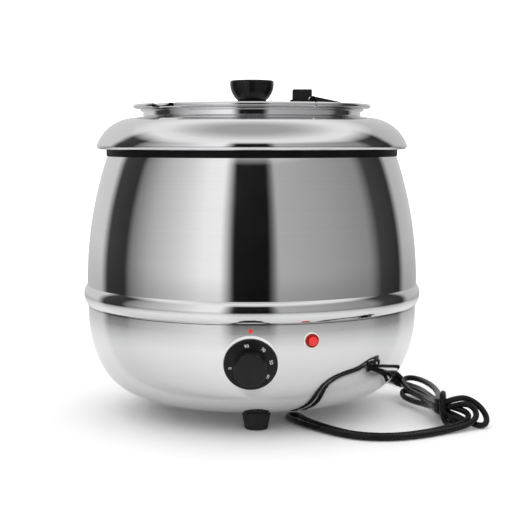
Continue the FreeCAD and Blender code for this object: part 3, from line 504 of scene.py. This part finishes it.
def makeLid():
    v = lid
    flap, edge = lidDisc("lidFlap")
    angle = math.radians(v["notchAt"])
    way = Vector((math.cos(angle), math.sin(angle), 0))
    inner = v["lidR"] - v["notchDeep"] + v["notchWide"] / 2
    centre = Vector((0, axisY, v["seatZ"] / 1000)) + way * inner / 1000
    up = Vector((0, 0, 0.02))
    for sheet in (flap, edge):
        trimmed(sheet, v["hingeX"] - v["split"] / 2, True)
        hole = rodBetween("notchRound", centre - up, centre + up, v["notchWide"] / 2000, 96)
        clearSelection()
        bpy.ops.mesh.primitive_cube_add(size=1, location=centre + way * 0.02, rotation=(0, 0, angle))
        straight = bpy.context.object
        straight.scale = (0.04, v["notchWide"] / 1000, 0.04)
        settle(straight)
        cutWith(sheet, hole, straight)
    joined(flap, edge)
    smooth(flap, 24)
    standFor(flap, polished, "polished_steel", "lid_flap")
    segment, edge = lidDisc("lidSegment")
    lip = turned("segmentLip", [(v["lipR"], v["seatZ"] - 7.0), (v["lipR"], v["seatZ"] - 0.4)], shell["wall"])
    for sheet in (segment, edge):
        trimmed(sheet, v["hingeX"] + v["split"] / 2, False)
    trimmed(lip, v["hingeX"] + 6.0, False)
    joined(segment, edge, lip)
    smooth(segment, 24)
    standFor(segment, polished, "polished_steel", "lid_segment")


def makeKnob():
    k = knob
    panel = lid["seatZ"] + lid["rise"]
    neck = panel + k["footTall"]
    top = neck + k["tall"]
    foot = turned("knobFoot", outline((k["boreR"], panel), 0, [
        ("line", k["footR"], panel), ("line", k["footR"], panel + 1.8), ("bend", k["neckR"] + 0.5, neck),
        ("line", k["boreR"], neck), ("line", k["boreR"], panel)]), steps=96)
    smooth(foot)
    standFor(foot, knobBlack, "gloss_black", "knob_foot")
    grip = turned("knobGrip", outline((0, neck), 0, [
        ("line", k["neckR"], neck), ("arc", k["wideR"] - k["belly"], neck + k["tall"] / 2, k["wideR"], top - 2.6),
        ("head", 90), ("bend", k["wideR"] - 2.0, top - 0.5), ("line", k["wideR"] - 5.0, top - 0.25),
        ("line", 0, top)]), steps=96)
    smooth(grip)
    standFor(grip, knobBlack, "gloss_black", "lid_knob")


makeLid()
makeKnob()
print("lid made")


# dial: turned skirt, eight-sided grip and its numbers

dial = {"low": 1.9, "skirt": 3.2, "radius": 24.5, "gripR": 15.6, "gripTall": 15.2, "gripTurn": 28.5, "bevel": 1.0,
        "letter": 4.3, "letterR": 18.6, "bezelR": 25.5, "bezelBore": 20.5, "bezelTall": 1.3}
dialNumbers = [("0", 189), ("90", 101), ("70", 53), ("50", 9), ("40", -35), ("30", -84)]


def spunOut(name, points, steps=96):
    # a piece of revolution about +Z at the origin
    piece = turned(name, points, steps=steps)
    piece.location = (0, -axisY, 0)
    settle(piece)
    return piece


def makeDial():
    d = dial
    top = d["low"] + d["skirt"]
    skirt = spunOut("dial", outline((0, d["low"] + 2.0), 0, [
        ("line", d["radius"] - 2.5, d["low"] + 2.0), ("line", d["radius"] - 2.0, d["low"]),
        ("line", d["radius"] - 0.4, d["low"]), ("line", d["radius"], d["low"] + 0.4),
        ("line", d["radius"], d["low"] + 1.6), ("bend", d["radius"] - 1.2, d["low"] + 2.4),
        ("line", d["gripR"] - 0.5, top), ("line", 0, top)]))
    clearSelection()
    bpy.ops.mesh.primitive_cylinder_add(vertices=8, radius=d["gripR"] / 1000, depth=d["gripTall"] / 1000,
                                        location=(0, 0, (top - 0.5 + d["gripTall"] / 2) / 1000),
                                        rotation=(0, 0, math.radians(d["gripTurn"])))
    grip = bpy.context.object
    settle(grip)
    addModifier(grip, "BEVEL", width=d["bevel"] / 1000, segments=4, limit_method="ANGLE")
    joined(skirt, grip)
    seated(skirt, dialAt, dialWay)
    smooth(skirt)
    standFor(skirt, dialBlack, "black_plastic", "thermostat_dial")
    # the bezel's pale paint is a painted reflection of a chrome ring
    bezel = spunOut("dialBezel", outline((d["bezelBore"], -3.0), 0, [
        ("line", d["bezelR"], -3.0), ("line", d["bezelR"], d["bezelTall"] - 0.6),
        ("bend", d["bezelR"] - 0.6, d["bezelTall"]), ("line", d["bezelBore"], d["bezelTall"]),
        ("line", d["bezelBore"], -3.0)]))
    seated(bezel, dialAt, dialWay)
    smooth(bezel)
    standFor(bezel, paintedSheenTrim, "polished_steel", "dial_bezel")
    slope = math.degrees(math.atan2(d["skirt"] - 2.4, d["radius"] - 1.2 - d["gripR"] + 0.5))
    for words, angle in dialNumbers:
        clearSelection()
        bpy.ops.object.text_add(location=(0, 0, 0))
        number = bpy.context.object
        number.name = "number" + words
        number.data.body = words
        number.data.size = d["letter"] / 1000
        number.data.align_x = "CENTER"
        number.data.align_y = "CENTER"
        number.data.extrude = 0.00008
        bpy.ops.object.convert(target="MESH")
        turn = math.radians(angle - 90)
        reach = d["letterR"] / 1000
        height = (top - (d["letterR"] - d["gripR"] + 0.5) * math.tan(math.radians(slope)) + 0.06) / 1000
        lean = Matrix.Rotation(math.radians(-slope), 4, "X")
        spot = Matrix.Rotation(turn, 4, "Z") @ Matrix.Translation((0, reach, height)) @ lean
        number.matrix_world = spot
        seated(number, dialAt, dialWay)
        wear(number, numeralInk)
        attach(number, "dial")


makeDial()
print("dial made")


# pilot lamp and index mark

lamp = {"azimuth": 19.3, "bezelR": 7.4, "bezelTall": 0.9, "lensR": 6.5, "lensTall": 4.6, "faceR": 4.1, "bodyR": 5.2,
        "z": 94.0}
indexGem = {"stemR": 1.0, "headR": 2.1, "tall": 1.5, "z": 103.6}


def bowlAt(azimuth, z):
    # the place on the bowl's upper arc at a height in millimetres, and its outward way
    s = shell
    drop = s["bowlR"] - s["kneeR"]
    rise = s["bowlTopZ"] - s["kneeZ"]
    radius = (rise * rise + drop * drop) / (2 * drop)
    lean = math.asin(max(s["bowlTopZ"] - z, 0.0) / radius)
    reach = (s["bowlR"] - radius * (1 - math.cos(lean))) / 1000
    angle = math.radians(azimuth)
    flat = Vector((math.sin(angle), -math.cos(angle), 0))
    return Vector((0, axisY, z / 1000)) + flat * reach, flat * math.cos(lean) - Vector((0, 0, math.sin(lean)))


def makeLamp():
    v = lamp
    place, way = bowlAt(v["azimuth"], v["z"])
    collar = spunOut("lampCollar", outline((v["bodyR"], -1.5), 0, [
        ("line", v["bezelR"], -1.5), ("line", v["bezelR"], v["bezelTall"] - 0.3),
        ("bend", v["bezelR"] - 0.3, v["bezelTall"]), ("line", v["bodyR"], v["bezelTall"]),
        ("line", v["bodyR"], -1.5)]), 64)
    seated(collar, place, way)
    smooth(collar)
    standFor(collar, paleRing, "lamp_white", "lamp_bezel")
    top = v["bezelTall"] + v["lensTall"]
    # the lens's outer ring wears the painted-shade copy of the red; its face wears the lighter red
    lens = spunOut("lampLens", outline((0, 0.2), 0, [
        ("line", v["bodyR"], 0.2), ("line", v["bodyR"], v["bezelTall"]), ("line", v["lensR"], v["bezelTall"]),
        ("line", v["lensR"], v["bezelTall"] + 1.2), ("bend", v["lensR"] - 0.8, v["bezelTall"] + 1.9),
        ("line", v["faceR"] + 0.9, v["bezelTall"] + 0.9), ("line", 0, v["bezelTall"] + 0.9)]), 64)
    seated(lens, place, way)
    smooth(lens)
    standFor(lens, shadedLensRed, "red_lens", "lamp_lens")
    face = spunOut("lampFace", outline((0, v["bezelTall"]), 0, [
        ("line", v["faceR"] + 0.3, v["bezelTall"]), ("line", v["faceR"] + 0.2, top - 0.7),
        ("bend", v["faceR"] - 0.5, top), ("line", 0, top)]), 64)
    seated(face, place, way)
    smooth(face)
    standFor(face, redLens, "red_lens", "lamp_lens")
    m = indexGem
    gem = spunOut("indexGem", outline((0, -1.5), 0, [
        ("line", m["stemR"], -1.5), ("line", m["stemR"], 0.02), ("line", m["headR"], 0.02),
        ("line", m["headR"], 0.3), ("bend", 0.95, m["tall"]), ("line", 0, m["tall"])]), 48)
    seated(gem, *bowlAt(0.0, m["z"]))
    smooth(gem)
    standFor(gem, gemRed, "red_lens", "index_gem")


makeLamp()
print("lamp made")


# mains lead: one smooth line from the boot to the plug

lead = {"radius": 0.0029, "length": 1.72, "steps": 14}

bootTip = Vector((0.161607, 0.055646 + axisY, 0.012502))
bootWay = Vector((0.724309, 0.249400, -0.642788))
leadStart = [(177.0, 50.0, 6.5), (186.0, 22.0, 4.5), (190.0, -15.0, 4.5), (190.0, -50.0, 7.0)]
bightRoute = [
    (215.0, -101.5, 10.5), (205.0, -111.0, 5.5), (184.0, -123.0, 3.2), (166.0, -136.0, 3.2),
    (143.0, -148.5, 3.2), (122.0, -152.5, 3.2), (101.0, -149.0, 3.2), (80.0, -134.5, 3.2),
    (59.0, -108.5, 3.2), (46.0, -90.0, 3.2), (38.8, -75.5, 3.2), (33.9, -62.5, 3.2), (38.6, -56.4, 3.2),
    (46.2, -57.8, 3.2), (51.0, -72.0, 3.2), (59.0, -90.0, 3.2), (70.5, -108.5, 3.2), (88.0, -131.0, 3.2),
    (104.0, -141.5, 3.2), (122.0, -145.0, 3.2), (141.0, -141.5, 3.2), (162.5, -129.5, 3.2),
    (179.5, -117.0, 3.3), (198.0, -105.0, 5.0), (207.5, -98.0, 8.5),
]
tailRoute = [
    (186.0, 44.0, 4.5), (184.5, 68.0, 3.4), (176.0, 92.0, 3.2), (163.0, 115.0, 3.2),
    (148.0, 136.0, 3.3), (130.0, 152.0, 6.5), (113.0, 164.0, 12.5), (96.0, 173.5, 16.2),
    (79.0, 181.5, 16.6),
]
# the loops of the hank, which all go through the turn that holds them
nearLoop = [
    (195.0, -87.0, 10.5), (206.0, -94.0, 5.5), (216.0, -103.0, 3.2), (223.5, -102.0, 3.6),
    (226.5, -92.0, 9.5), (220.0, -83.0, 19.0), (208.0, -79.0, 25.5), (196.0, -84.0, 25.0),
]
upperLoop = [
    (179.0, -82.0, 22.5), (183.0, -62.0, 22.5), (187.5, -38.0, 21.0), (187.0, 5.0, 20.5),
    (178.5, 40.0, 20.5), (167.0, 51.0, 20.5), (158.5, 40.0, 18.5), (163.0, 14.0, 14.0),
    (173.0, -18.0, 13.5), (180.0, -45.0, 15.0), (178.0, -72.0, 17.0),
]
outToBight = [(196.0, -86.0, 19.0), (208.0, -86.0, 21.0), (215.0, -92.0, 17.0)]
backFromBight = [(208.5, -91.0, 12.5), (201.0, -85.5, 15.5)]
lowerLoop = [
    (179.0, -76.0, 17.5), (178.0, -56.0, 14.5), (174.0, -22.0, 13.0), (166.0, 5.0, 13.5),
    (158.0, 22.0, 12.5), (156.5, 10.0, 8.0), (165.0, -9.0, 7.0), (175.0, -32.0, 8.5),
    (180.0, -58.0, 11.5), (179.0, -80.0, 13.5),
]
underTie = [(192.0, -97.0, 9.5), (203.0, -98.0, 5.0), (207.0, -88.0, 3.3), (199.0, -79.0, 3.2), (190.0, -82.0, 3.2)]
fromTie = [(190.0, -60.0, 4.5), (194.0, -30.0, 3.3), (193.0, 8.0, 3.2)]
tie = {"place": (185.0, -86.0, 16.7), "along": (0.94, -0.34), "wide": 13.2, "tall": 14.6, "back": 5.2, "up": 3.0,
       "points": 9, "from": -70, "apart": 36, "slack": 4.0, "lowest": 3.2}


def slot(back, up):
    # where a strand passes through the tie, counted in strands from its middle
    x, y, z = tie["place"]
    alongX, alongY = tie["along"]
    back *= tie["back"]
    return [(x - alongY * back, y + alongX * back, z - 1.2 + up * tie["up"])]


def tieTurn():
    x, y, z = tie["place"]
    alongX, alongY = tie["along"]
    points = []
    for step in range(tie["points"]):
        angle = math.radians(tie["from"] + tie["apart"] * step)
        back = -tie["wide"] * math.cos(angle)
        shift = tie["slack"] - step
        up = max(z + tie["tall"] * math.sin(angle), tie["lowest"])
        points.append((x + alongX * shift - alongY * back, y + alongY * shift + alongX * back, up))
    return points


def placed(points):
    # millimetres about the body's axis, as metres in the frame
    return [Vector((x / 1000, y / 1000 + axisY, z / 1000)) for x, y, z in points]


def makeLead():
    strands = leadStart + slot(1, -1) + nearLoop + slot(0, 2) + upperLoop + slot(0, 0)
    strands += outToBight + bightRoute + backFromBight + slot(1, 1) + lowerLoop + slot(-1, -1)
    strands += underTie + tieTurn() + fromTie
    route = [bootTip, bootTip + bootWay * 0.009] + placed(strands + tailRoute)
    curve = bpy.data.curves.new("mainsLead", "CURVE")
    curve.dimensions = "3D"
    line = curve.splines.new("NURBS")
    line.points.add(len(route) - 1)
    for point, spot in zip(line.points, route):
        point.co = (*spot, 1.0)
    line.order_u = 3
    line.use_endpoint_u = True
    line.resolution_u = lead["steps"]
    curve.bevel_depth = lead["radius"]
    curve.bevel_resolution = 5
    curve.use_fill_caps = True
    cord = bpy.data.objects.new("mainsLead", curve)
    bpy.context.scene.collection.objects.link(cord)
    curve.materials.append(cordBlack)
    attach(cord, "kettle")
    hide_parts("cord_lead", "cord_hank", "cord_bight", "cord_tail")
    return cord


cord = makeLead()
print("mains lead made")


# floor and light

studio = {"white": 1.6, "strength": 1.0, "fadeFrom": 0.32, "fadeTo": 0.95, "solid": 0.58, "belowTone": 0.42,
          "roofFrom": 0.56, "roofTo": 0.74}
roofTones = [(0.45, 1.0), (0.82, 0.84), (0.97, 0.4)]
# what the polished metal sees round the horizon: degrees from the front, + to the right, and tone
surround = [(-180, 0.68), (-126, 0.66), (-117, 0.05), (-96, 0.03), (-90, 0.22), (-74, 0.46), (-50, 0.70),
            (-33, 0.93), (-21, 0.96), (-17.5, 0.6), (-12, 0.008), (11.5, 0.003), (15, 0.16), (18.5, 0.45),
            (50, 0.38), (88, 0.27), (99, 0.05), (121, 0.03), (129, 0.5), (180, 0.66)]


def makeFloor(name, size, place, fades):
    sheet = Sheet(name)
    rough = sheet.span(sheet.noise(6.0), 0.3, 0.7, 0.6, 0.7)
    tint = sheet.mix(sheet.noise(3.0), (0.90, 0.90, 0.90, 1), (0.92, 0.92, 0.92, 1))
    material = sheet.set(Base_Color=tint, Roughness=rough, Specular_IOR_Level=0.2)
    if fades:
        x, y, z = sheet.axes()
        away = (x * x + y * y) ** 0.5
        sheet.set(Alpha=sheet.span(away, studio["fadeFrom"], studio["fadeTo"], studio["solid"], 0.0))
    clearSelection()
    bpy.ops.mesh.primitive_plane_add(size=1.0, location=place)
    floor = bpy.context.object
    floor.name = name
    floor.scale = (*size, 1.0)
    settle(floor)
    wear(floor, material)
    floor.visible_glossy = fades


def makeWorld():
    world = bpy.data.worlds.new("studio")
    bpy.context.scene.world = world
    sheet = Sheet("studio", world)
    x, y, z = sheet.axes(sheet.node("ShaderNodeTexCoord"))
    around = sheet.node("ShaderNodeMath", {"operation": "ARCTAN2"}, {0: x, 1: y * -1.0})
    stops = [((a + 180) / 360, (v, v, v)) for a, v in surround]
    cards = sheet.ramp(around / (2 * math.pi) + 0.5, *stops)
    cards = sheet.mix(sheet.span(z, -0.3, 0.0, studio["belowTone"], 1.0), (0, 0, 0, 1), cards)
    high = sheet.span(z, studio["roofFrom"], studio["roofTo"], 0.0, 1.0)
    roof = sheet.ramp(z, *[(place, (v, v, v)) for place, v in roofTones])
    seen = sheet.mix(high, cards, roof)
    isGlossy = sheet.node("ShaderNodeLightPath", out=3)
    white = studio["white"]
    colour = sheet.mix(isGlossy, (white, white, white, 1), seen)
    sheet.feed(sheet.shader.inputs["Color"], colour)
    sheet.feed(sheet.shader.inputs["Strength"], studio["strength"])


makeFloor("nearFloor", (3.0, 4.4), (0, 0.9, 0), True)
makeFloor("farFloor", (16.0, 16.0), (0, 5.0, -0.0005), False)
makeWorld()
bpy.context.scene.view_settings.view_transform = "Standard"
print("floor and light made")
